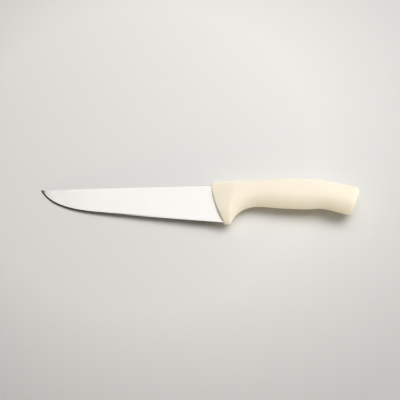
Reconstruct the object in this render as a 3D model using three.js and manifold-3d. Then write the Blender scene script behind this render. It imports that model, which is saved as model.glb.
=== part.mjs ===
// A meat knife lying on its side: a ground steel blade with a hidden pierced tang,
// and a plastic handle moulded round that tang, with a finger guard and a hooked butt.
import * as THREE from "three";
import { mergeVertices } from "three/addons/utils/BufferGeometryUtils.js";
import Module from "manifold-3d";

const wasm = await Module();
wasm.setup();

// Sizes are in millimetres and angles in degrees.
// In the knife's own frame x runs from the handle's front to its butt, y from the edge to the
// spine, and z across the blade. The origin is where the spine enters the handle, in mid-blade.

// Blade
const bladeLength = 154.9; // handle to tip, along the spine
const tipDrop = 0.4; // of the tip below the spine
const heelDepth = 36.0; // spine to edge where the handle begins
const bellyLength = 54; // of the sweep of the edge, back from the tip
const bellyDepth = 24.15; // spine to edge where the sweep begins
const bellyPull = 38; // how far the straight edge's direction carries into the sweep
const tipPull = 11; // how far the tip's direction carries back into the sweep
const tipAngle = 58; // between the edge and the spine at the tip
const spineThickness = 2.8; // beside the handle
const tipThickness = 0.9; // of the spine at the tip
const shoulderThickness = 0.6; // just above the bevel
const bevelAngle = 15; // each side of the edge
const bevelLimit = 0.6; // most that the bevel takes of the height, at the tip
const edgeFlat = 0.1; // width that the whetted edge is left with
const spineChamfer = 0.3;

// Tang, inside the handle
const tangDrop = 9.5; // spine to the tang's centre line
const tangHeight = 16; // at its root
const tangEndHeight = 11;
const tangLength = 74; // from the handle's front
const tangRootRadius = 5;
const tangSetback = 1.5; // of the full sheet thickness behind the handle's front
const heelInset = 3.5; // of the edge's heel into the guard
const spineInset = 9; // of the spine's end into the handle
const keyHoleDiameter = 6;
const keyHoleCount = 3;
const keyHolePitch = 21;
const keyHoleEndWall = 5; // steel between the last hole and the tang's end
const mouldGap = 0.3; // between the steel and the plastic all round

// Handle, seen from its side
const handleLength = 132.1;
const frontRise = 1.95; // of the handle's top above the spine, at the front
const frontLean = 12.4; // of the front, from its top to the guard's foot
const frontBow = 2.7; // of the front towards the tip
const frontRadius = 1.2; // round the front lip
const footRadius = 0.6; // of the lip under the guard
const guardWall = 1.85; // plastic below the heel of the edge
const guardFootRadius = 1.5;
const ridgeAt = 21.2; // top of the ridge that ends the front facets
const ridgeRise = 2.85;
const ridgeBow = 2.4; // of that ridge towards the tip
const ridgeBowAt = 0.75; // share of the height at which the bow is deepest
const ridgeBowTail = 1.5; // how steeply the bow runs out at the guard's foot
const neckAt = 40; // crest of the finger recess
const neckRise = 3.05;
const neckDepth = 21.35;
const fingerRadius = 24.2;
const palmAt = 62.3;
const palmRise = 4.4;
const palmDepth = 23.55;
const bellySwellAt = 84.3;
const bellySwellRise = 3.95;
const bellySwellDepth = 25.05;
const hookAt = 98.3; // where the underside turns down to the butt
const hookRise = 2.4;
const hookDepth = 24.8;
const buttDrop = 5.15; // of the handle's top below the spine, at the butt
const buttHeight = 27.3;
const buttLean = 20.2;
const buttRadius = 5;
const buttCrown = 0.1;

// Handle, across
const frontThickness = 14.4;
const ridgeThickness = 19.2;
const neckThickness = 17.8;
const palmThickness = 18.8;
const hookThickness = 18.6;
const buttThickness = 17.2;
const frontSquareness = 5; // exponents of the rounded sections: 2 is an ellipse
const ridgeSquareness = 3;
const gripSquareness = 2.5; // above the thickest line
const flankSquareness = 2; // below it
const keelSquareness = 1.5; // at the bottom
const footSquareness = 2.4; // at the guard's foot
const ridgeCrownOffset = 0.17; // of the thickest line towards the spine, as a share of the height
const gripCrownOffset = 0.04;

// Fineness of the facets
const sweepSteps = 26;
const sweepCrowding = 1.4; // how much closer the sections lie towards the tip
const straightSteps = 10;
const sectionPoints = 36;
const lipSteps = 4;
const facetSteps = 4;
const recessSteps = 16;
const gripSteps = 24;
const buttSteps = 5;
const curveSegments = 16;
const mergeDistance = 1e-4;
const pitchTolerance = 1e-7; // radians

const radians = THREE.MathUtils.degToRad;
const mix = THREE.MathUtils.lerp;
const guardFoot = -(heelDepth + guardWall);

// A smooth curve through rising [x, value] knots, with cubic pieces between them.
function curveThrough(knots, startSlope) {
  const slopes = knots.map((knot, i) => {
    const before = knots[Math.max(i - 1, 0)];
    const after = knots[Math.min(i + 1, knots.length - 1)];
    return (after[1] - before[1]) / (after[0] - before[0]);
  });
  if (startSlope !== undefined) slopes[0] = startSlope;
  return (x) => {
    let i = 0;
    while (i + 2 < knots.length && x > knots[i + 1][0]) i += 1;
    const [x0, y0] = knots[i];
    const [x1, y1] = knots[i + 1];
    const span = x1 - x0;
    const t = (x - x0) / span;
    const rise = 3 * t * t - 2 * t * t * t;
    const leave = t * (1 - t) * (1 - t) * span * slopes[i];
    const arrive = t * t * (t - 1) * span * slopes[i + 1];
    return mix(y0, y1, rise) + leave + arrive;
  };
}

// A closed skin over rings that run from low x to high x. Each ring goes from the top
// round by +z to the bottom and back, and its two halves mirror each other in z.
function loft(rings) {
  const count = rings[0].length;
  const index = [];
  const quad = (a, b, c, d) => index.push(a, b, c, a, c, d);
  for (let ring = 0; ring + 1 < rings.length; ring++) {
    const here = ring * count;
    const next = here + count;
    for (let k = 0; k < count; k++) {
      const turn = (k + 1) % count;
      quad(here + k, here + turn, next + turn, next + k);
    }
  }
  const last = (rings.length - 1) * count;
  for (let k = 0; k + 1 < count / 2; k++) {
    const mirror = count - 1 - k;
    quad(k, mirror, mirror - 1, k + 1);
    quad(last + k, last + k + 1, last + mirror - 1, last + mirror);
  }
  const geometry = new THREE.BufferGeometry().setFromPoints(rings.flat());
  geometry.setIndex(index);
  return geometry;
}

function toSolid(geometry) {
  geometry.deleteAttribute("normal");
  geometry.deleteAttribute("uv");
  const merged = mergeVertices(geometry, mergeDistance);
  return new wasm.Manifold(new wasm.Mesh({
    numProp: 3,
    vertProperties: new Float32Array(merged.attributes.position.array),
    triVerts: new Uint32Array(merged.index.array),
  }));
}

function toGeometry(solid) {
  const { vertProperties, triVerts } = solid.getMesh();
  const geometry = new THREE.BufferGeometry();
  geometry.setAttribute("position", new THREE.BufferAttribute(vertProperties, 3));
  geometry.setIndex(new THREE.BufferAttribute(triVerts, 1));
  geometry.computeVertexNormals();
  return geometry;
}

// The handle's front, bowed towards the tip and leaning back to the guard's foot.
const evenBow = (share) => 4 * share * (1 - share);
const frontLine = (share) => frontBow * evenBow(share);
function frontX(y) {
  const down = (frontRise - y) / (frontRise - guardFoot);
  return frontLean * down - frontLine(down);
}

// Outline of the blade: a straight edge from the heel, then a sweep up to the tip.
const heel = new THREE.Vector2(frontX(-heelDepth), -heelDepth);
const tip = new THREE.Vector2(-bladeLength, -tipDrop);
const sweepStart = new THREE.Vector2(bellyLength - bladeLength, -bellyDepth);
const edgeRun = sweepStart.clone().sub(heel).normalize();
const tipRun = new THREE.Vector2(-Math.cos(radians(tipAngle)), Math.sin(radians(tipAngle)));
const sweep = new THREE.CubicBezierCurve(
  tip,
  tip.clone().addScaledVector(tipRun, -tipPull),
  sweepStart.clone().addScaledVector(edgeRun, bellyPull),
  sweepStart,
);
const intoSweep = (x) => THREE.MathUtils.clamp((bellyLength - bladeLength - x) / bellyLength, 0, 1);
const spineY = (x) => -tipDrop * THREE.MathUtils.smoothstep(intoSweep(x), 0, 1);

// The bevel is even all along. Above it the ground sides are flat: half the thickness grows
// evenly from the bevel's shoulder to the spine, and only the sweep is thinned towards the tip.
const bevelRise = Math.tan(radians(bevelAngle));
const bevelWidth = (shoulderThickness - edgeFlat) / 2 / bevelRise;
const aboveEdge = new THREE.Vector2(edgeRun.y, -edgeRun.x);
const heightOver = (point) => aboveEdge.dot(point) - aboveEdge.dot(heel) - bevelWidth;
const sideRise = (spineThickness - shoulderThickness) / 2 / heightOver(new THREE.Vector2());
function spineHalf(spine) {
  const ground = shoulderThickness / 2 + sideRise * heightOver(spine);
  return mix(ground, tipThickness / 2, intoSweep(spine.x) ** 2);
}

// One section of the blade from a point of the spine to a point of the edge, grown by a gap.
function bladeRing(spine, edge, inward, grow) {
  const flat = edgeFlat / 2;
  const height = spine.distanceTo(edge);
  const bevel = Math.min(bevelWidth, height * bevelLimit);
  const shoulder = edge.clone().addScaledVector(inward, bevel);
  const shoulderHalf = flat + bevel * bevelRise;
  const half = Math.min(spineHalf(spine), flat + height * bevelRise);
  const chamfer = Math.min(spineChamfer, half / 2, (height - bevel) / 2);
  const lip = edge.clone().addScaledVector(inward, -grow);
  const side = [
    new THREE.Vector3(spine.x, spine.y + grow, half - chamfer + grow),
    new THREE.Vector3(spine.x, spine.y - chamfer + grow, half + grow),
    new THREE.Vector3(shoulder.x, shoulder.y, shoulderHalf + grow),
    new THREE.Vector3(lip.x, lip.y, flat + grow),
  ];
  const otherSide = side.map((p) => new THREE.Vector3(p.x, p.y, -p.z)).reverse();
  return [...side, ...otherSide];
}

// Tang: the full sheet behind the ground blade, tapering to a round end, with keyed holes.
function tangShape(grow) {
  const top = -tangDrop + tangHeight / 2 + grow;
  const bottom = -tangDrop - tangHeight / 2 - grow;
  const endRadius = tangEndHeight / 2 + grow;
  const endCentre = tangLength - tangEndHeight / 2;
  const root = bottom - tangRootRadius;
  const start = frontX(root) + tangSetback - grow;
  const rootX = frontX(root) + heelInset + grow;
  const taper = Math.atan2((tangHeight - tangEndHeight) / 2, endCentre - rootX - tangRootRadius);
  const shape = new THREE.Shape();
  shape.moveTo(start, root);
  shape.lineTo(rootX, root);
  shape.absarc(rootX + tangRootRadius, root, tangRootRadius, Math.PI, Math.PI / 2, true);
  shape.absarc(endCentre, -tangDrop, endRadius, taper - Math.PI / 2, Math.PI / 2 - taper, false);
  shape.lineTo(rootX + tangRootRadius, top);
  shape.lineTo(start, top);
  shape.closePath();
  for (let i = 0; i < keyHoleCount; i++) {
    const x = tangLength - keyHoleEndWall - keyHoleDiameter / 2 - i * keyHolePitch;
    const hole = new THREE.Path();
    hole.absarc(x, -tangDrop, keyHoleDiameter / 2 - grow, 0, 2 * Math.PI, false);
    shape.holes.push(hole);
  }
  return shape;
}

// The whole steel piece. Grown by the moulding gap it is also the cavity of the handle.
function steelSolid(grow) {
  const rings = [];
  for (let i = 1; i <= sweepSteps; i++) {
    const t = (i / sweepSteps) ** sweepCrowding;
    const edge = sweep.getPoint(t);
    const run = sweep.getTangent(t);
    const spine = new THREE.Vector2(edge.x, spineY(edge.x));
    rings.push(bladeRing(spine, edge, new THREE.Vector2(-run.y, run.x), grow));
  }
  const edgeEnd = heel.clone().addScaledVector(edgeRun, -heelInset / -edgeRun.x - grow);
  const spineEnd = new THREE.Vector2(spineInset + grow, 0);
  for (let i = 1; i <= straightSteps; i++) {
    const t = i / straightSteps;
    const edge = sweepStart.clone().lerp(edgeEnd, t);
    const spine = new THREE.Vector2(mix(sweepStart.x, spineEnd.x, t), 0);
    rings.push(bladeRing(spine, edge, aboveEdge, grow));
  }
  const thickness = spineThickness + 2 * grow;
  const tang = new THREE.ExtrudeGeometry(tangShape(grow), {
    depth: thickness,
    bevelEnabled: false,
    curveSegments,
  });
  tang.translate(0, 0, -thickness / 2);
  return toSolid(loft(rings)).add(toSolid(tang));
}

// Outline of the handle: its top, the finger recess behind the guard, and its underside.
const lean = radians(buttLean);
const buttTop = new THREE.Vector2(handleLength - buttRadius * (1 - Math.sin(lean)), -buttDrop);
const buttDown = new THREE.Vector2(-Math.sin(lean), -Math.cos(lean));
const buttOut = new THREE.Vector2(Math.cos(lean), -Math.sin(lean));
const buttBottom = buttTop.clone().addScaledVector(buttDown, buttHeight);

const topLine = curveThrough([
  [0, frontRise], [ridgeAt, ridgeRise], [neckAt, neckRise], [palmAt, palmRise],
  [bellySwellAt, bellySwellRise], [hookAt, hookRise], [buttTop.x, buttTop.y],
]);
const underLine = curveThrough([
  [neckAt, -neckDepth], [palmAt, -palmDepth], [bellySwellAt, -bellySwellDepth],
  [hookAt, -hookDepth], [buttBottom.x, buttBottom.y],
], 0);

const fingerCentre = new THREE.Vector2(neckAt, -neckDepth - fingerRadius);
const footY = guardFoot + guardFootRadius;
const footReach = Math.sqrt((fingerRadius + guardFootRadius) ** 2 - (footY - fingerCentre.y) ** 2);
const footCentre = new THREE.Vector2(fingerCentre.x - footReach, footY);
const footAngle = Math.atan2(footY - fingerCentre.y, -footReach);
const recess = new THREE.CurvePath();
recess.add(new THREE.ArcCurve(
  footCentre.x, footCentre.y, guardFootRadius, -Math.PI / 2, footAngle - Math.PI, false,
));
recess.add(new THREE.ArcCurve(
  fingerCentre.x, fingerCentre.y, fingerRadius, footAngle, Math.PI / 2, true,
));

const gripHalf = curveThrough([
  [ridgeAt, ridgeThickness / 2], [neckAt, neckThickness / 2], [palmAt, palmThickness / 2],
  [hookAt, hookThickness / 2], [buttTop.x, buttThickness / 2],
]);

// The ridge bows towards the tip like the front, but deepest towards the guard.
function ridgeLine(share) {
  const rise = ridgeBowTail * ridgeBowAt / (1 - ridgeBowAt);
  return ridgeBow * (share / ridgeBowAt) ** rise * ((1 - share) / (1 - ridgeBowAt)) ** ridgeBowTail;
}

// One rounded section of the handle from its top to its bottom. Inset draws it in all round.
function handleRing({ top, bottom, half, square, flank, keel, bow, offset, foot = 1 }, inset = 0) {
  const down = bottom.clone().sub(top).normalize();
  const from = top.clone().addScaledVector(down, inset);
  const to = bottom.clone().addScaledVector(down, -inset * foot);
  const ring = [];
  for (let k = 0; k < sectionPoints; k++) {
    const angle = (k + 0.5) / sectionPoints * 2 * Math.PI;
    const along = Math.cos(angle);
    const across = Math.sin(angle);
    const sideways = along > 0 ? square : flank;
    const even = (1 - Math.sign(along) * Math.abs(along) ** (2 / sideways)) / 2;
    const endways = mix(sideways, keel, Math.max(2 * even - 1, 0));
    const share = even - offset * evenBow(even);
    const z = Math.sign(across) * Math.abs(across) ** (2 / endways) * (half - inset);
    const point = from.clone().lerp(to, share);
    ring.push(new THREE.Vector3(point.x - bow(share), point.y, z));
  }
  return ring;
}

function frontSection(setback) {
  return {
    top: new THREE.Vector2(setback, topLine(setback)),
    bottom: new THREE.Vector2(frontLean + setback, guardFoot),
    half: frontThickness / 2,
    square: frontSquareness,
    flank: frontSquareness,
    keel: footSquareness,
    bow: frontLine,
    offset: 0,
    foot: footRadius / frontRadius,
  };
}

function gripSection(topX, bottom, towardsNeck) {
  return {
    top: new THREE.Vector2(topX, topLine(topX)),
    bottom,
    half: gripHalf(topX),
    square: mix(ridgeSquareness, gripSquareness, towardsNeck),
    flank: mix(ridgeSquareness, flankSquareness, towardsNeck),
    keel: mix(footSquareness, keelSquareness, towardsNeck),
    bow: (share) => ridgeLine(share) * (1 - towardsNeck),
    offset: mix(ridgeCrownOffset, gripCrownOffset, towardsNeck),
  };
}

// A section of the front facets, between the lip and the ridge.
function facetSection(lip, ridge, t) {
  const topX = mix(lip.top.x, ridge.top.x, t);
  const squareness = mix(lip.square, ridge.square, t);
  return {
    top: new THREE.Vector2(topX, topLine(topX)),
    bottom: lip.bottom.clone().lerp(ridge.bottom, t),
    half: mix(lip.half, ridge.half, t),
    square: squareness,
    flank: squareness,
    keel: footSquareness,
    bow: (share) => mix(lip.bow(share), ridge.bow(share), t),
    offset: mix(lip.offset, ridge.offset, t),
  };
}

function handleRings() {
  const rings = [];
  for (let i = 0; i <= lipSteps; i++) {
    const turn = Math.PI / 2 * (1 - i / lipSteps);
    const section = frontSection(frontRadius * (1 - Math.sin(turn)));
    rings.push(handleRing(section, frontRadius * (1 - Math.cos(turn))));
  }
  const lip = frontSection(frontRadius);
  const ridge = gripSection(ridgeAt, recess.getPointAt(0), 0);
  for (let i = 1; i < facetSteps; i++) {
    rings.push(handleRing(facetSection(lip, ridge, i / facetSteps)));
  }
  for (let i = 0; i < recessSteps; i++) {
    const t = i / recessSteps;
    rings.push(handleRing(gripSection(mix(ridgeAt, neckAt, t), recess.getPointAt(t), t)));
  }
  for (let i = 0; i < gripSteps; i++) {
    const t = i / gripSteps;
    const bottomX = mix(neckAt, buttBottom.x, t);
    const bottom = new THREE.Vector2(bottomX, underLine(bottomX));
    rings.push(handleRing(gripSection(mix(neckAt, buttTop.x, t), bottom, 1)));
  }
  const butt = gripSection(buttTop.x, buttBottom, 1);
  for (let i = 0; i <= buttSteps; i++) {
    const turn = Math.PI / 2 * i / buttSteps;
    const out = buttOut.clone().multiplyScalar(buttRadius * Math.sin(turn));
    const moved = { ...butt, top: butt.top.clone().add(out), bottom: butt.bottom.clone().add(out) };
    moved.bow = (share) => -buttCrown * Math.sin(turn) * evenBow(share);
    rings.push(handleRing(moved, buttRadius * (1 - Math.cos(turn))));
  }
  return rings;
}

const bladeGeometry = toGeometry(steelSolid(0));
const handleGeometry = toGeometry(toSolid(loft(handleRings())).subtract(steelSolid(mouldGap)));

const steel = new THREE.MeshStandardMaterial({ color: 0xdcdad5, metalness: 1, roughness: 0.3 });
const plastic = new THREE.MeshStandardMaterial({ color: 0xf4e8cf, metalness: 0, roughness: 0.45 });
const blade = new THREE.Mesh(bladeGeometry, steel);
blade.name = "blade";
const handle = new THREE.Mesh(handleGeometry, plastic);
handle.name = "handle";

// The knife lies on the side of its tip and of its guard: the pitch at which both touch.
function lowest(geometry, pitch) {
  const position = geometry.getAttribute("position");
  let low = Infinity;
  for (let i = 0; i < position.count; i++) {
    low = Math.min(low, position.getX(i) * Math.sin(pitch) + position.getZ(i) * Math.cos(pitch));
  }
  return low;
}

function lyingPitch() {
  let low = 0;
  let high = Math.PI / 4;
  while (high - low > pitchTolerance) {
    const middle = (low + high) / 2;
    if (lowest(bladeGeometry, middle) > lowest(handleGeometry, middle)) low = middle;
    else high = middle;
  }
  return low;
}

const knife = new THREE.Group();
knife.add(blade, handle);
knife.rotation.y = -lyingPitch();
knife.updateMatrixWorld(true);

// The part's origin is at the middle of its underside, on the surface that it lies on.
const box = new THREE.Box3().setFromObject(knife, true);
const middle = box.getCenter(new THREE.Vector3());
knife.position.set(-middle.x, -middle.y, -box.min.z);

const meatKnife = new THREE.Group();
meatKnife.add(knife);

export default meatKnife;
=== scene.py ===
import math

import bmesh
import bpy
from mathutils import Matrix, Vector


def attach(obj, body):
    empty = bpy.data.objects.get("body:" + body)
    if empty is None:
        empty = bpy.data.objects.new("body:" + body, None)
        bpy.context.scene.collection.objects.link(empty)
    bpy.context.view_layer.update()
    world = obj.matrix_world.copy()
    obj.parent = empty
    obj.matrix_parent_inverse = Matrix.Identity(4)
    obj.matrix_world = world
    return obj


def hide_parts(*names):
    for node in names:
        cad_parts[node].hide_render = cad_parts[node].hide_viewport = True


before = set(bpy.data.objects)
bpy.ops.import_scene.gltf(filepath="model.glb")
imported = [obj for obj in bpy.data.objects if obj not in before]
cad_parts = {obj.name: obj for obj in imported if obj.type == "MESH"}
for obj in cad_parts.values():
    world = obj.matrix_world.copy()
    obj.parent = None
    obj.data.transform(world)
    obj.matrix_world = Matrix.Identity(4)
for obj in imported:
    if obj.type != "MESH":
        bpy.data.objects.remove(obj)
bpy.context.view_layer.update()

mm = 0.001
mergeGap = 0.001 * mm  # points nearer than this are one

# the knife lies nose down, on the side of its tip and of its guard
knifeLie = {
    "pitch": 3.0337,  # degrees
    "spineEntry": (11.2822, 16.7046, 8.596),  # mm, where the spine goes into the handle
}


def mix(a, b, t):
    return a + (b - a) * t


def clamped(t):
    return min(max(t, 0), 1)


def ease(t):  # from nought to one, level at both ends
    return t * t * (3 - 2 * t)


def arch(t):  # nought at both ends, one in the middle
    return 4 * t * (1 - t)


def deselectAll():
    bpy.ops.object.select_all(action="DESELECT")


def workOn(piece):
    deselectAll()
    piece.select_set(True)
    bpy.context.view_layer.objects.active = piece


def applyModifier(piece, kind, **settings):
    workOn(piece)
    modifier = piece.modifiers.new(kind.lower(), kind)
    for key, value in settings.items():
        setattr(modifier, key, value)
    bpy.ops.object.modifier_apply(modifier=modifier.name)


def cutWith(piece, tool, operation):
    applyModifier(piece, "BOOLEAN", operation=operation, object=tool, solver="EXACT")
    bpy.data.objects.remove(tool)


def placeRing(piece, order, ring):
    shape = bmesh.from_edit_mesh(piece.data)
    shape.verts.ensure_lookup_table()
    for index, place in zip(order, ring):
        shape.verts[index].co = place * mm
    bmesh.update_edit_mesh(piece.data)


def extrudedFrom(piece, order):  # the new loop's points, in the order of the loop they grew from
    shape = bmesh.from_edit_mesh(piece.data)
    shape.verts.index_update()
    shape.verts.ensure_lookup_table()
    grown = []
    for index in order:
        ends = [edge.other_vert(shape.verts[index]) for edge in shape.verts[index].link_edges]
        grown.append(next(vert.index for vert in ends if vert.select))
    return grown


def flattened(ring, share):  # a ring drawn in towards the middle plane
    return [Vector((place.x, place.y, place.z * share)) for place in ring]


def skinRings(name, rings, endShares=(0.7, 0.35, 0.0)):
    # a loop extruded from ring to ring, with both ends drawn in to the middle plane and merged there
    rings = [flattened(rings[0], s) for s in reversed(endShares)] + rings
    rings = rings + [flattened(rings[-1], s) for s in endShares]
    deselectAll()
    bpy.ops.mesh.primitive_circle_add(vertices=len(rings[0]), radius=mm)
    piece = bpy.context.object
    piece.name = name
    piece.data.name = name
    bpy.ops.object.mode_set(mode="EDIT")
    bpy.ops.mesh.select_all(action="SELECT")
    orders = [list(range(len(rings[0])))]
    placeRing(piece, orders[0], rings[0])
    for ring in rings[1:]:
        bpy.ops.mesh.extrude_edges_move()
        orders.append(extrudedFrom(piece, orders[-1]))
        placeRing(piece, orders[-1], ring)
    return piece, orders[len(endShares):len(orders) - len(endShares)]


def closeSkin():
    bpy.ops.mesh.select_all(action="SELECT")
    bpy.ops.mesh.remove_doubles(threshold=mergeGap)
    bpy.ops.mesh.normals_make_consistent(inside=False)
    bpy.ops.object.mode_set(mode="OBJECT")


def layDown(piece):
    workOn(piece)
    piece.rotation_euler = (0, -math.radians(knifeLie["pitch"]), 0)
    piece.location = Vector(knifeLie["spineEntry"]) * mm
    bpy.ops.object.transform_apply(location=True, rotation=True, scale=True)


def curveThrough(knots, startSlope=None):  # cubic pieces through (x, value) knots
    slopes = []
    for i in range(len(knots)):
        before = knots[max(i - 1, 0)]
        after = knots[min(i + 1, len(knots) - 1)]
        slopes.append((after[1] - before[1]) / (after[0] - before[0]))
    if startSlope is not None:
        slopes[0] = startSlope

    def valueAt(x):
        i = 0
        while i + 2 < len(knots) and x > knots[i + 1][0]:
            i += 1
        (x0, y0), (x1, y1) = knots[i], knots[i + 1]
        span = x1 - x0
        t = (x - x0) / span
        leave = t * (1 - t) * (1 - t) * span * slopes[i]
        arrive = t * t * (t - 1) * span * slopes[i + 1]
        return mix(y0, y1, ease(t)) + leave + arrive

    return valueAt


# camera, as the photograph was taken
cameraSet = {
    "elevation": 65.0,  # degrees above the table
    "distance": 950.0,  # mm
    "aim": (1.14, 6.88, 0.0),  # mm, at the middle of the picture
    "pictureWidth": 362.0,  # mm across at the aim
    "sensor": 36.0,
}


def addCamera():
    lens = bpy.data.cameras.new("knifeCamera")
    camera = bpy.data.objects.new("knifeCamera", lens)
    bpy.context.scene.collection.objects.link(camera)
    up = math.radians(cameraSet["elevation"])
    back = Vector((0, -math.cos(up), math.sin(up)))
    camera.location = (Vector(cameraSet["aim"]) + back * cameraSet["distance"]) * mm
    camera.rotation_euler = (math.pi / 2 - up, 0, 0)
    lens.sensor_width = cameraSet["sensor"]
    lens.lens = cameraSet["sensor"] * cameraSet["distance"] / cameraSet["pictureWidth"]
    bpy.context.scene.camera = camera


addCamera()
print("camera placed")

# the front of the handle in mm, which the blade's heel follows
frontCut = {
    "rise": 1.95,
    "lean": 11.8,
    "bow": 2.7,
    "heelDepth": 36.0,
    "guardWall": 1.85,
}
guardFoot = -(frontCut["heelDepth"] + frontCut["guardWall"])


def frontBow(share):
    return frontCut["bow"] * arch(share)


def frontX(y):
    down = (frontCut["rise"] - y) / (frontCut["rise"] - guardFoot)
    return frontCut["lean"] * down - frontBow(down)


# blade: sizes in mm, in the knife's own frame
bladeCut = {
    "length": 154.9,
    "tipDrop": 0.4,
    "bellyLength": 54.0,
    "bellyDepth": 24.15,
    "bellyPull": 38.0,
    "tipPull": 11.0,
    "tipAngle": 58.0,  # degrees
    "spineThickness": 2.8,
    "tipThickness": 0.9,
    "shoulderThickness": 0.6,
    "bevelAngle": 15.0,  # degrees
    "bevelMargin": (-7.0, 4.0),  # degrees off that angle that still count as whetted
    "bevelFacing": 0.2,  # and how much of the normal may point towards the spine
    "bevelLimit": 0.6,  # share of the height
    "edgeFlat": 0.06,
    "spineRound": 0.3,
    "heelInset": 3.5,
    "spineInset": 9.0,
    "sweepStations": 72,
    "sweepCrowding": 1.4,
    "straightStations": 30,
    "smoothAngle": 7.0,  # degrees
}
heel = Vector((frontX(-frontCut["heelDepth"]), -frontCut["heelDepth"]))
tip = Vector((-bladeCut["length"], -bladeCut["tipDrop"]))
sweepStart = Vector((bladeCut["bellyLength"] - bladeCut["length"], -bladeCut["bellyDepth"]))
edgeRun = (sweepStart - heel).normalized()
tipLine = math.radians(bladeCut["tipAngle"])
tipRun = Vector((-math.cos(tipLine), math.sin(tipLine)))
sweepPulls = (
    tip,
    tip - tipRun * bladeCut["tipPull"],
    sweepStart + edgeRun * bladeCut["bellyPull"],
    sweepStart,
)
bevelRise = math.tan(math.radians(bladeCut["bevelAngle"]))
bevelWidth = (bladeCut["shoulderThickness"] - bladeCut["edgeFlat"]) / 2 / bevelRise
aboveEdge = Vector((edgeRun.y, -edgeRun.x))


def sweepPoint(t):
    a, b, c, d = sweepPulls
    s = 1 - t
    return a * s**3 + b * 3 * s * s * t + c * 3 * s * t * t + d * t**3


def sweepRun(t):
    a, b, c, d = sweepPulls
    s = 1 - t
    return ((b - a) * s * s + (c - b) * 2 * s * t + (d - c) * t * t).normalized()


def intoSweep(x):
    start = bladeCut["length"] - bladeCut["bellyLength"]
    return clamped((-x - start) / bladeCut["bellyLength"])


def spineY(x):
    return -bladeCut["tipDrop"] * ease(intoSweep(x))


def heightOver(place):  # above the bevel's shoulder
    return aboveEdge.dot(place - heel) - bevelWidth


def spineHalf(spine):  # flat ground sides, thinned in the sweep towards the tip
    shoulder = bladeCut["shoulderThickness"] / 2
    full = bladeCut["spineThickness"] / 2
    ground = mix(shoulder, full, heightOver(spine) / heightOver(Vector((0, 0))))
    return mix(ground, bladeCut["tipThickness"] / 2, intoSweep(spine.x) ** 2)


def bladeRing(spine, edge, inward, grow):
    flat = bladeCut["edgeFlat"] / 2
    height = (spine - edge).length
    bevel = min(bevelWidth, height * bladeCut["bevelLimit"])
    shoulder = edge + inward * bevel
    shoulderHalf = flat + bevel * bevelRise
    half = min(spineHalf(spine), flat + height * bevelRise)
    rounding = min(bladeCut["spineRound"], half / 2, (height - bevel) / 2)
    lip = edge - inward * grow
    corner = rounding * (1 - math.sqrt(0.5))  # half way round the spine's edge
    side = [
        Vector((spine.x, spine.y + grow, half - rounding + grow)),
        Vector((spine.x, spine.y - corner + grow, half - corner + grow)),
        Vector((spine.x, spine.y - rounding + grow, half + grow)),
        Vector((shoulder.x, shoulder.y, shoulderHalf + grow)),
        Vector((lip.x, lip.y, flat + grow)),
    ]
    return side + [Vector((p.x, p.y, -p.z)) for p in reversed(side)]


def bladeRings(grow):
    rings = []
    steps = bladeCut["sweepStations"]
    for i in range(1, steps + 1):
        t = (i / steps) ** bladeCut["sweepCrowding"]
        edge = sweepPoint(t)
        run = sweepRun(t)
        rings.append(bladeRing(Vector((edge.x, spineY(edge.x))), edge, Vector((-run.y, run.x)), grow))
    edgeEnd = heel - edgeRun * (bladeCut["heelInset"] / -edgeRun.x + grow)
    spineEnd = bladeCut["spineInset"] + grow
    steps = bladeCut["straightStations"]
    for i in range(1, steps + 1):
        t = i / steps
        spine = Vector((mix(sweepStart.x, spineEnd, t), 0))
        rings.append(bladeRing(spine, sweepStart.lerp(edgeEnd, t), aboveEdge, grow))
    return rings


# tang: hidden in the handle, sizes in mm
tangCut = {
    "drop": 9.5,
    "height": 16.0,
    "endHeight": 11.0,
    "start": 5.0,
    "end": 74.0,
    "endRadius": 4.5,
    "endSegments": 8,
    "holeDiameter": 6.0,
    "holeSides": 48,
    "punchLength": 11.2,
    "holeCount": 3,
    "holePitch": 21.0,
    "endWall": 5.0,
}


def selectEdges(piece, wanted):
    shape = bmesh.from_edit_mesh(piece.data)
    for edge in shape.edges:
        edge.select_set(wanted(*edge.verts))
    bmesh.update_edit_mesh(piece.data)


def tangPlate(grow):
    deselectAll()
    length = tangCut["end"] - tangCut["start"] + grow
    height = tangCut["height"] + 2 * grow
    thick = bladeCut["spineThickness"] + 2 * grow
    middle = Vector((tangCut["start"] + length / 2, -tangCut["drop"], 0)) * mm
    bpy.ops.mesh.primitive_cube_add(size=1, location=middle)
    plate = bpy.context.object
    plate.scale = Vector((length, height, thick)) * mm
    bpy.ops.object.transform_apply(location=True, rotation=True, scale=True)
    bpy.ops.object.mode_set(mode="EDIT")
    bpy.ops.mesh.select_mode(type="EDGE")
    bpy.ops.mesh.select_all(action="DESELECT")
    selectEdges(plate, lambda a, b: a.co.x > middle.x and b.co.x > middle.x)  # round the end
    taper = (tangCut["endHeight"] + 2 * grow) / height
    bpy.ops.transform.resize(value=(1, taper, 1), center_override=middle)
    selectEdges(plate, lambda a, b: a.co.x > middle.x and abs(a.co.z - b.co.z) > mm)  # its upright edges
    bpy.ops.mesh.bevel(offset=tangCut["endRadius"] * mm, segments=tangCut["endSegments"], affect="EDGES")
    bpy.ops.object.mode_set(mode="OBJECT")
    return plate


def keyHole(i, grow):
    deselectAll()
    x = tangCut["end"] - tangCut["endWall"] - tangCut["holeDiameter"] / 2 - i * tangCut["holePitch"]
    bpy.ops.mesh.primitive_cylinder_add(
        vertices=tangCut["holeSides"],
        radius=(tangCut["holeDiameter"] / 2 - grow) * mm,
        depth=tangCut["punchLength"] * mm,
        location=Vector((x, -tangCut["drop"], 0)) * mm,
    )
    return bpy.context.object


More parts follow.
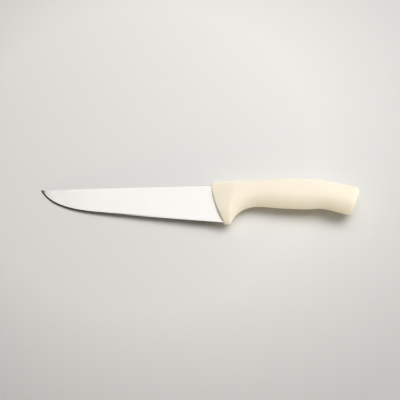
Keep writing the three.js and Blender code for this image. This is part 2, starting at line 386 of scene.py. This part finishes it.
def steelPiece(name, grow=0.0):
    piece, _ = skinRings(name, bladeRings(grow))
    closeSkin()
    cutWith(piece, tangPlate(grow), "UNION")
    for i in range(tangCut["holeCount"]):
        cutWith(piece, keyHole(i, grow), "DIFFERENCE")
    return piece


def markBevel(piece):  # one on the whetted faces, nought elsewhere
    leans = [math.radians(bladeCut["bevelAngle"] + off) for off in bladeCut["bevelMargin"]]
    high, low = map(math.cos, leans)
    whetted = piece.data.attributes.new("whetted", "FLOAT", "FACE")
    for face in piece.data.polygons:
        isBevel = low < abs(face.normal.z) < high and face.normal.y < bladeCut["bevelFacing"]
        whetted.data[face.index].value = 1.0 if isBevel else 0.0


def smoothBelow(piece, degrees):
    workOn(piece)
    bpy.ops.object.shade_smooth_by_angle(angle=math.radians(degrees))


# handle: sizes in mm, in the knife's own frame
handleForm = {
    "length": 132.1,
    "frontRadius": 0.8,
    "lipShadeWidth": 0.533,  # over which the painted shade at the front's lip fades
    "footRadius": 0.6,
    "guardFootRadius": 1.0,
    "ridge": {"at": 21.2, "rise": 2.85, "bow": 2.4, "bowAt": 0.75, "bowTail": 1.5, "thickness": 19.2},
    "neck": {"at": 40.0, "rise": 3.05, "depth": 21.35, "thickness": 17.8},
    "palm": {"at": 62.3, "rise": 4.4, "depth": 23.55, "thickness": 18.8},
    "swell": {"at": 84.3, "rise": 3.95, "depth": 25.05},
    "hook": {"at": 98.3, "rise": 2.4, "depth": 24.8, "thickness": 18.6},
    "butt": {
        "drop": 5.15,
        "height": 27.3,
        "lean": 20.2,  # degrees
        "radius": 5.0,
        "sideRound": 0.45,  # share of the radius by which the sides come in
        "crown": 0.1,
        "thickness": 17.2,
    },
    "fingerRadius": 24.2,
    "frontThickness": 14.4,
    "frontSquareness": 5.0,  # of the half above the crown
    "ridgeSquareness": 3.0,
    "gripSquareness": 2.5,
    "frontFlank": 3.6,  # of the half below it, beside the crown
    "ridgeFlank": 2.3,
    "gripFlank": 2.0,
    "keelSquareness": 1.5,  # and at the bottom edge
    "footSquareness": 2.4,  # at the guard's foot
    "footBevel": {"height": 8.5, "fall": 0.5},  # the fall is a share of the thickness
    "ridgeCrownOffset": 0.17,  # share of the height by which the crown lies above the middle
    "gripCrownOffset": 0.04,
    "mouldGap": 0.05,
    "sectionPoints": 56,
    "steps": {"lip": 6, "facet": 10, "recess": 26, "grip": 36, "butt": 8},
    "ridgeCrease": 0.75,
    "ridgeFades": (0.05, 0.55),  # share of the height over which the ridge sharpens
    "ridgeRound": {"sag": 0.35, "slope": 0.09},
    "smoothAngle": 35.0,  # degrees
}
ridge, neck, palm = handleForm["ridge"], handleForm["neck"], handleForm["palm"]
swell, hook, butt = handleForm["swell"], handleForm["hook"], handleForm["butt"]
lean = math.radians(butt["lean"])
buttTop = Vector((handleForm["length"] - butt["radius"] * (1 - math.sin(lean)), -butt["drop"]))
buttBottom = buttTop + Vector((-math.sin(lean), -math.cos(lean))) * butt["height"]
buttOut = Vector((math.cos(lean), -math.sin(lean)))
topLine = curveThrough(
    [(0, frontCut["rise"])]
    + [(knot["at"], knot["rise"]) for knot in (ridge, neck, palm, swell, hook)]
    + [tuple(buttTop)]
)
underLine = curveThrough(
    [(knot["at"], -knot["depth"]) for knot in (neck, palm, swell, hook)] + [tuple(buttBottom)], 0
)
gripHalf = curveThrough(
    [(knot["at"], knot["thickness"] / 2) for knot in (ridge, neck, palm, hook)]
    + [(buttTop.x, butt["thickness"] / 2)]
)
fingerCentre = Vector((neck["at"], -neck["depth"] - handleForm["fingerRadius"]))
footY = guardFoot + handleForm["guardFootRadius"]
footReach = math.sqrt(
    (handleForm["fingerRadius"] + handleForm["guardFootRadius"]) ** 2 - (footY - fingerCentre.y) ** 2
)
footCentre = Vector((fingerCentre.x - footReach, footY))
footAngle = math.atan2(footY - fingerCentre.y, -footReach)


def around(centre, radius, angle):
    return centre + Vector((math.cos(angle), math.sin(angle))) * radius


def recessPoint(share):  # from the guard's foot, round it and up the finger recess to the neck
    foot, finger = handleForm["guardFootRadius"], handleForm["fingerRadius"]
    turn = footAngle - math.pi / 2
    footRun = foot * turn
    travel = share * (footRun + finger * turn)
    if travel < footRun:
        return around(footCentre, foot, travel / foot - math.pi / 2)
    return around(fingerCentre, finger, footAngle - (travel - footRun) / finger)


def ridgeBow(share):  # deepest towards the guard
    at, tail = ridge["bowAt"], ridge["bowTail"]
    return ridge["bow"] * (share / at) ** (tail * at / (1 - at)) * ((1 - share) / (1 - at)) ** tail


def ridgeSharp(share):  # nought at the top, one towards the guard
    start, full = handleForm["ridgeFades"]
    return ease(clamped((share - start) / (full - start)))


def ridgeSag(away, share):  # how much the ridge is rounded down, at a distance from its crest
    sag = handleForm["ridgeRound"]["sag"] * (1 - ridgeSharp(share))
    fall = handleForm["ridgeRound"]["slope"] * away
    return math.hypot(fall, sag) - abs(fall)


def footTaper(y):  # the guard's end is thinned towards its foot
    height, fall = handleForm["footBevel"]["height"], handleForm["footBevel"]["fall"]
    return 1 - fall * clamped((guardFoot + height - y) / height)


def handleRing(section, inset=0.0):  # "foot" and "side" are shares of the inset, at the bottom and across
    down = (section["bottom"] - section["top"]).normalized()
    start = section["top"] + down * inset
    end = section["bottom"] - down * inset * section.get("foot", 1)
    ring = []
    for k in range(handleForm["sectionPoints"]):
        angle = (k + 0.5) / handleForm["sectionPoints"] * 2 * math.pi
        along, across = math.cos(angle), math.sin(angle)
        beside = section["squareness"] if along > 0 else section["flank"]
        even = (1 - math.copysign(abs(along) ** (2 / beside), along)) / 2
        towards = mix(beside, section["keel"], max(2 * even - 1, 0))
        share = even - section["offset"] * arch(even)
        place = start.lerp(end, share)
        thinned = section["half"] - inset * section.get("side", 1) - section["sag"](share)
        half = thinned * footTaper(place.y)
        z = math.copysign(abs(across) ** (2 / towards), across) * half
        ring.append(Vector((place.x - section["bow"](share), place.y, z)))
    return ring


def frontSection(setback):
    return {
        "top": Vector((setback, topLine(setback))),
        "bottom": Vector((frontCut["lean"] + setback, guardFoot)),
        "half": handleForm["frontThickness"] / 2,
        "squareness": handleForm["frontSquareness"],
        "flank": handleForm["frontFlank"],
        "keel": handleForm["footSquareness"],
        "bow": frontBow,
        "sag": lambda share: 0.0,
        "offset": 0.0,
        "foot": handleForm["footRadius"] / handleForm["frontRadius"],
    }


def gripSection(topX, bottom, towardsNeck):
    return {
        "top": Vector((topX, topLine(topX))),
        "bottom": bottom,
        "half": gripHalf(topX),
        "squareness": mix(handleForm["ridgeSquareness"], handleForm["gripSquareness"], towardsNeck),
        "flank": mix(handleForm["ridgeFlank"], handleForm["gripFlank"], towardsNeck),
        "keel": mix(handleForm["footSquareness"], handleForm["keelSquareness"], towardsNeck),
        "bow": lambda share: ridgeBow(share) * (1 - towardsNeck),
        "sag": lambda share: ridgeSag(towardsNeck * (neck["at"] - ridge["at"]), share),
        "offset": mix(handleForm["ridgeCrownOffset"], handleForm["gripCrownOffset"], towardsNeck),
    }


def facetSection(lip, crest, t):
    topX = mix(lip["top"].x, crest["top"].x, t)
    section = {key: mix(lip[key], crest[key], t) for key in ("half", "squareness", "flank", "keel", "offset")}
    section["top"] = Vector((topX, topLine(topX)))
    section["bottom"] = lip["bottom"].lerp(crest["bottom"], t)
    section["bow"] = lambda share: mix(frontBow(share), ridgeBow(share), t)
    section["sag"] = lambda share: ridgeSag(ridge["at"] - topX, share)
    return section


def handleRings():
    rings = []
    steps = handleForm["steps"]
    radius = handleForm["frontRadius"]
    for i in range(steps["lip"] + 1):
        turn = math.pi / 2 * (1 - i / steps["lip"])
        rings.append(handleRing(frontSection(radius * (1 - math.sin(turn))), radius * (1 - math.cos(turn))))
    lip = frontSection(radius)
    crest = gripSection(ridge["at"], recessPoint(0), 0)
    for i in range(1, steps["facet"]):
        rings.append(handleRing(facetSection(lip, crest, i / steps["facet"])))
    crestIndex = len(rings)
    for i in range(steps["recess"]):
        t = i / steps["recess"]
        rings.append(handleRing(gripSection(mix(ridge["at"], neck["at"], t), recessPoint(t), t)))
    for i in range(steps["grip"]):
        t = i / steps["grip"]
        bottomX = mix(neck["at"], buttBottom.x, t)
        bottom = Vector((bottomX, underLine(bottomX)))
        rings.append(handleRing(gripSection(mix(neck["at"], buttTop.x, t), bottom, 1)))
    end = gripSection(buttTop.x, buttBottom, 1)
    for i in range(steps["butt"] + 1):
        turn = math.pi / 2 * i / steps["butt"]
        out = buttOut * butt["radius"] * math.sin(turn)
        crown = butt["crown"] * math.sin(turn)
        moved = dict(end, top=end["top"] + out, bottom=end["bottom"] + out, side=butt["sideRound"])
        moved["bow"] = lambda share: -crown * arch(share)
        rings.append(handleRing(moved, butt["radius"] * (1 - math.cos(turn))))
    return rings, crestIndex


def creaseRidge(piece, order):  # sharp towards the guard, fading out towards the top
    shape = bmesh.from_edit_mesh(piece.data)
    shape.verts.ensure_lookup_table()
    crease = shape.edges.layers.float.new("crease_edge")
    verts = [shape.verts[index] for index in order]
    top = max(vert.co.y for vert in verts)
    height = top - min(vert.co.y for vert in verts)
    for a, b in zip(verts, verts[1:] + verts[:1]):
        share = (top - (a.co.y + b.co.y) / 2) / height
        shape.edges.get((a, b))[crease] = handleForm["ridgeCrease"] * ridgeSharp(share)
    bmesh.update_edit_mesh(piece.data)


def markLipShade(piece):  # painted shade of the crevice: one at the front, where the plastic meets the steel, nought behind the lip
    lip = piece.data.attributes.new("lip", "FLOAT", "POINT")
    for vert in piece.data.vertices:
        behind = vert.co.x / mm - frontX(vert.co.y / mm)
        lip.data[vert.index].value = clamped(1 - behind / handleForm["lipShadeWidth"])


# finishes
def newFinish(name):
    finish = bpy.data.materials.new(name)
    finish.use_nodes = True
    nodes = finish.node_tree.nodes
    shader = nodes["Principled BSDF"]
    place = nodes.new("ShaderNodeTexCoord")
    knifeFrame = nodes.new("ShaderNodeMapping")  # turns the pattern with the knife as it lies
    knifeFrame.vector_type = "TEXTURE"
    knifeFrame.inputs["Location"].default_value = Vector(knifeLie["spineEntry"]) * mm
    knifeFrame.inputs["Rotation"].default_value = (0, -math.radians(knifeLie["pitch"]), 0)
    finish.node_tree.links.new(place.outputs["Object"], knifeFrame.inputs["Vector"])
    return finish, nodes, finish.node_tree.links, shader, knifeFrame.outputs["Vector"]


def addNoise(nodes, links, vector, scale, detail=2.0):  # scale is per metre, along x, y and z
    stretch = nodes.new("ShaderNodeMapping")
    stretch.inputs["Scale"].default_value = scale
    links.new(vector, stretch.inputs["Vector"])
    noise = nodes.new("ShaderNodeTexNoise")
    noise.inputs["Scale"].default_value = 1.0
    noise.inputs["Detail"].default_value = detail
    links.new(stretch.outputs["Vector"], noise.inputs["Vector"])
    return noise.outputs["Fac"]


def addRange(nodes, links, value, toMin, toMax, fromMin=0.3, fromMax=0.7):  # from what noise mostly spans
    ramp = nodes.new("ShaderNodeMapRange")
    ramp.inputs["From Min"].default_value = fromMin
    ramp.inputs["From Max"].default_value = fromMax
    ramp.inputs["To Min"].default_value = toMin
    ramp.inputs["To Max"].default_value = toMax
    links.new(value, ramp.inputs["Value"])
    return ramp.outputs["Result"]


def addMath(nodes, links, operation, first, second):
    sums = nodes.new("ShaderNodeMath")
    sums.operation = operation
    for socket, value in zip(sums.inputs, (first, second)):
        if isinstance(value, (int, float)):
            socket.default_value = value
        else:
            links.new(value, socket)
    return sums.outputs["Value"]


def addBlend(nodes, links, factor, first, second):
    blend = nodes.new("ShaderNodeMix")
    blend.data_type = "RGBA"
    links.new(factor, blend.inputs["Factor"])
    for socket, colour in ((blend.inputs["A"], first), (blend.inputs["B"], second)):
        if isinstance(colour, tuple):
            socket.default_value = (*colour, 1)
        else:
            links.new(colour, socket)
    return blend.outputs["Result"]


def addBump(nodes, links, height, distance, under=None):
    bump = nodes.new("ShaderNodeBump")
    bump.inputs["Distance"].default_value = distance
    links.new(height, bump.inputs["Height"])
    if under is not None:
        links.new(under, bump.inputs["Normal"])
    return bump.outputs["Normal"]


def addAttribute(nodes, name):
    attribute = nodes.new("ShaderNodeAttribute")
    attribute.attribute_name = name
    return attribute.outputs["Fac"]


def addDistance(nodes, links, place, middle):
    distance = nodes.new("ShaderNodeVectorMath")
    distance.operation = "DISTANCE"
    links.new(place, distance.inputs[0])
    distance.inputs[1].default_value = middle
    return distance.outputs["Value"]


def addChoice(nodes, links, factor, first, second):
    choose = nodes.new("ShaderNodeMixShader")
    for socket, source in zip(choose.inputs, (factor, first, second)):
        links.new(source, socket)
    return choose.outputs["Shader"]


def dress(piece, finish):
    piece.data.materials.clear()
    piece.data.materials.append(finish)


steelFinish = {
    "bright": (0.608, 0.598, 0.579),
    "dull": (0.592, 0.582, 0.563),
    "bevelTint": (0.56, 0.555, 0.545),
    "grindLines": (5200.0, 45.0, 45.0),  # noise per metre
    "grindBands": (420.0, 9.0, 9.0),
    "smudges": (55.0, 55.0, 55.0),
    "satinRoughness": (0.2, 0.26),
    "whettedRoughness": (0.1, 0.14),
    "lineHeight": 0.000004,  # metres
}


def satinSteel():
    finish, nodes, links, shader, place = newFinish("satinSteel")
    lines = addNoise(nodes, links, place, steelFinish["grindLines"], detail=3)
    bands = addNoise(nodes, links, place, steelFinish["grindBands"])
    smudges = addNoise(nodes, links, place, steelFinish["smudges"], detail=3)
    whetted = addAttribute(nodes, "whetted")
    colour = addBlend(nodes, links, bands, steelFinish["dull"], steelFinish["bright"])
    colour = addBlend(nodes, links, whetted, colour, steelFinish["bevelTint"])
    links.new(colour, shader.inputs["Base Color"])
    worn = addMath(nodes, links, "MULTIPLY", addMath(nodes, links, "ADD", lines, smudges), 0.5)  # their mean
    satin = addRange(nodes, links, worn, *steelFinish["satinRoughness"])
    fine = addRange(nodes, links, worn, *steelFinish["whettedRoughness"])
    rough = nodes.new("ShaderNodeMix")
    links.new(whetted, rough.inputs["Factor"])
    links.new(satin, rough.inputs["A"])
    links.new(fine, rough.inputs["B"])
    links.new(rough.outputs["Result"], shader.inputs["Roughness"])
    links.new(addBump(nodes, links, lines, steelFinish["lineHeight"]), shader.inputs["Normal"])
    shader.inputs["Metallic"].default_value = 1.0
    return finish


plasticFinish = {
    "cream": (0.925, 0.85, 0.725),
    "deepCream": (0.905, 0.828, 0.695),
    # painted shade: a warm darker colour at the front lip, where shade falls in the crevice between plastic
    # and steel
    "lipPaintedShade": (0.84, 0.72, 0.52),
    "clouds": (38.0, 38.0, 38.0),  # noise per metre
    "grain": (2600.0, 2600.0, 2600.0),
    "grainHeight": 0.000012,  # metres
    "roughness": (0.58, 0.66),
    "scatterWeight": 0.4,
    "scatterRadius": (1.0, 0.96, 0.55),
    "scatterScale": 0.004,
    "index": 1.49,
    "partingWidth": 0.00016,
    "partingHeight": 0.00005,
}


def creamPlastic():
    finish, nodes, links, shader, place = newFinish("creamPlastic")
    clouds = addNoise(nodes, links, place, plasticFinish["clouds"], detail=3)
    grain = addNoise(nodes, links, place, plasticFinish["grain"])
    # the lip attribute masks the painted shade where the plastic meets the steel
    lip = addAttribute(nodes, "lip")
    colour = addBlend(nodes, links, clouds, plasticFinish["deepCream"], plasticFinish["cream"])
    colour = addBlend(nodes, links, lip, colour, plasticFinish["lipPaintedShade"])
    links.new(colour, shader.inputs["Base Color"])
    links.new(addRange(nodes, links, grain, *plasticFinish["roughness"]), shader.inputs["Roughness"])
    split = nodes.new("ShaderNodeSeparateXYZ")
    links.new(place, split.inputs["Vector"])
    across = addMath(nodes, links, "ABSOLUTE", split.outputs["Z"], 0)
    parting = addRange(nodes, links, across, 1, 0, 0, plasticFinish["partingWidth"])
    grainy = addBump(nodes, links, grain, plasticFinish["grainHeight"])
    seamed = addBump(nodes, links, parting, plasticFinish["partingHeight"], under=grainy)
    links.new(seamed, shader.inputs["Normal"])
    shader.inputs["IOR"].default_value = plasticFinish["index"]
    shader.inputs["Subsurface Weight"].default_value = plasticFinish["scatterWeight"]
    shader.inputs["Subsurface Radius"].default_value = plasticFinish["scatterRadius"]
    shader.inputs["Subsurface Scale"].default_value = plasticFinish["scatterScale"]
    return finish


blade = steelPiece("blade_steel")
markBevel(blade)
smoothBelow(blade, bladeCut["smoothAngle"])
dress(blade, satinSteel())
layDown(blade)
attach(blade, "root")
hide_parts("blade")
print("blade ground,", len(blade.data.polygons), "faces")

rings, crestIndex = handleRings()
handle, orders = skinRings("handle_moulding", rings)
creaseRidge(handle, orders[crestIndex])
closeSkin()
applyModifier(handle, "SUBSURF", levels=1, render_levels=1)
cutWith(handle, steelPiece("cavity", handleForm["mouldGap"]), "DIFFERENCE")
markLipShade(handle)
smoothBelow(handle, handleForm["smoothAngle"])
dress(handle, creamPlastic())
layDown(handle)
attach(handle, "root")
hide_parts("handle")
print("handle moulded,", len(handle.data.polygons), "faces")

# floor, lamps and world, sizes in metres
studio = {
    "floorSize": 12.0,
    "floor": (0.748, 0.746, 0.735),
    # painted shade: the floor's colour towards its rim, a painted falloff of light
    "floorPaintedShade": (0.555, 0.552, 0.545),
    "floorRoughness": 0.85,
    "mottle": (30.0, 30.0, 30.0),  # noise per metre
    "mottleShade": 0.985,
    "paintedPoolMiddle": (-0.05, 0.06, 0.0),
    "paintedPoolFades": (0.16, 0.3),  # from there, over which the floor darkens in painted shade, a painted falloff of the lamps' light
    "floorFades": (0.3, 0.9),  # from the middle, over which the floor turns into the backdrop
    "lampHeight": 1.2,
    "softbox": {"across": (-0.34, 2.2), "back": (-0.3, 1.2), "turn": 24.0, "radiance": 1.59},
    "key": {"across": (0.3, 1.7), "back": (-0.05, 0.85), "turn": 0.0, "radiance": 4.65},
    "lampColour": (1.0, 0.99, 0.975),
    "frontWall": (1.75, 1.58, 1.17),
    "backWall": (0.1, 0.1, 0.1),
    "shineWall": (0.6, 0.6, 0.6),  # what the steel shows of the walls
    "shineRise": 0.4,  # and how much higher it shows them
    "ceiling": (0.035, 0.035, 0.035),
    "wallTop": (0.15, 0.4),  # sines of the angles above the floor where the walls fade into the ceiling
    "wallTurn": (-0.2, 0.4),  # and of those towards the back where the front wall fades into the back wall
    "backdrop": (0.86, 0.86, 0.85),
}


def paleFloor():
    finish = bpy.data.materials.new("paleFloor")
    finish.use_nodes = True
    nodes, links = finish.node_tree.nodes, finish.node_tree.links
    shader = nodes["Principled BSDF"]
    place = nodes.new("ShaderNodeTexCoord").outputs["Object"]
    mottle = addNoise(nodes, links, place, studio["mottle"], detail=4)
    darker = tuple(value * studio["mottleShade"] for value in studio["floor"])
    mottled = addBlend(nodes, links, mottle, darker, studio["floor"])
    # painted shade: the floor darkens with distance from the middle of a painted pool of light
    aside = addDistance(nodes, links, place, studio["paintedPoolMiddle"])
    paintedShade = addRange(nodes, links, aside, 0, 1, *studio["paintedPoolFades"])
    links.new(addBlend(nodes, links, paintedShade, mottled, studio["floorPaintedShade"]), shader.inputs["Base Color"])
    shader.inputs["Roughness"].default_value = studio["floorRoughness"]
    away = addDistance(nodes, links, place, (0, 0, 0))
    far = addRange(nodes, links, away, 0, 1, *studio["floorFades"])
    path = nodes.new("ShaderNodeLightPath")
    seenFar = addMath(nodes, links, "MULTIPLY", far, path.outputs["Is Camera Ray"])
    glow = nodes.new("ShaderNodeEmission")
    glow.inputs["Color"].default_value = (*studio["backdrop"], 1)
    shown = addChoice(nodes, links, seenFar, shader.outputs["BSDF"], glow.outputs["Emission"])
    links.new(shown, nodes["Material Output"].inputs["Surface"])
    return finish


def addFloor():
    deselectAll()
    bpy.ops.mesh.primitive_plane_add(size=studio["floorSize"])
    floor = bpy.context.object
    floor.name = "floor"
    floor.data.materials.append(paleFloor())


def addLamp(name):  # a level rectangle, turned about the upright
    (x0, x1), (y0, y1) = studio[name]["across"], studio[name]["back"]
    turn = math.radians(studio[name]["turn"])
    lamp = bpy.data.lights.new(name, "AREA")
    lamp.shape = "RECTANGLE"
    lamp.size, lamp.size_y = x1 - x0, y1 - y0
    lamp.energy = studio[name]["radiance"] * math.pi * lamp.size * lamp.size_y  # watts
    lamp.color = studio["lampColour"]
    hung = bpy.data.objects.new(name, lamp)
    middle = Vector(((x0 + x1) / 2, (y0 + y1) / 2, studio["lampHeight"]))
    hung.location = Matrix.Rotation(turn, 3, "Z") @ middle
    hung.rotation_euler = (0, 0, turn)
    bpy.context.scene.collection.objects.link(hung)


def addRoom():
    world = bpy.data.worlds.new("studioRoom")
    bpy.context.scene.world = world
    world.use_nodes = True
    nodes, links = world.node_tree.nodes, world.node_tree.links
    look = nodes.new("ShaderNodeTexCoord")
    split = nodes.new("ShaderNodeSeparateXYZ")
    links.new(look.outputs["Generated"], split.inputs["Vector"])
    path = nodes.new("ShaderNodeLightPath")
    inFront = addRange(nodes, links, split.outputs["Y"], 1, 0, *studio["wallTurn"])
    wall = addBlend(nodes, links, inFront, studio["backWall"], studio["frontWall"])
    wall = addBlend(nodes, links, path.outputs["Is Glossy Ray"], wall, studio["shineWall"])
    rise = addMath(nodes, links, "MULTIPLY", path.outputs["Is Glossy Ray"], studio["shineRise"])
    lowered = addMath(nodes, links, "SUBTRACT", split.outputs["Z"], rise)
    height = addRange(nodes, links, lowered, 0, 1, *studio["wallTop"])
    room = nodes["Background"]
    links.new(addBlend(nodes, links, height, wall, studio["ceiling"]), room.inputs["Color"])
    seen = nodes.new("ShaderNodeBackground")
    seen.inputs["Color"].default_value = (*studio["backdrop"], 1)
    sources = (room.outputs["Background"], seen.outputs["Background"])
    shown = addChoice(nodes, links, path.outputs["Is Camera Ray"], *sources)
    links.new(shown, nodes["World Output"].inputs["Surface"])


addFloor()
addLamp("softbox")
addLamp("key")
addRoom()
bpy.context.scene.view_settings.view_transform = "Standard"
print("studio lit")
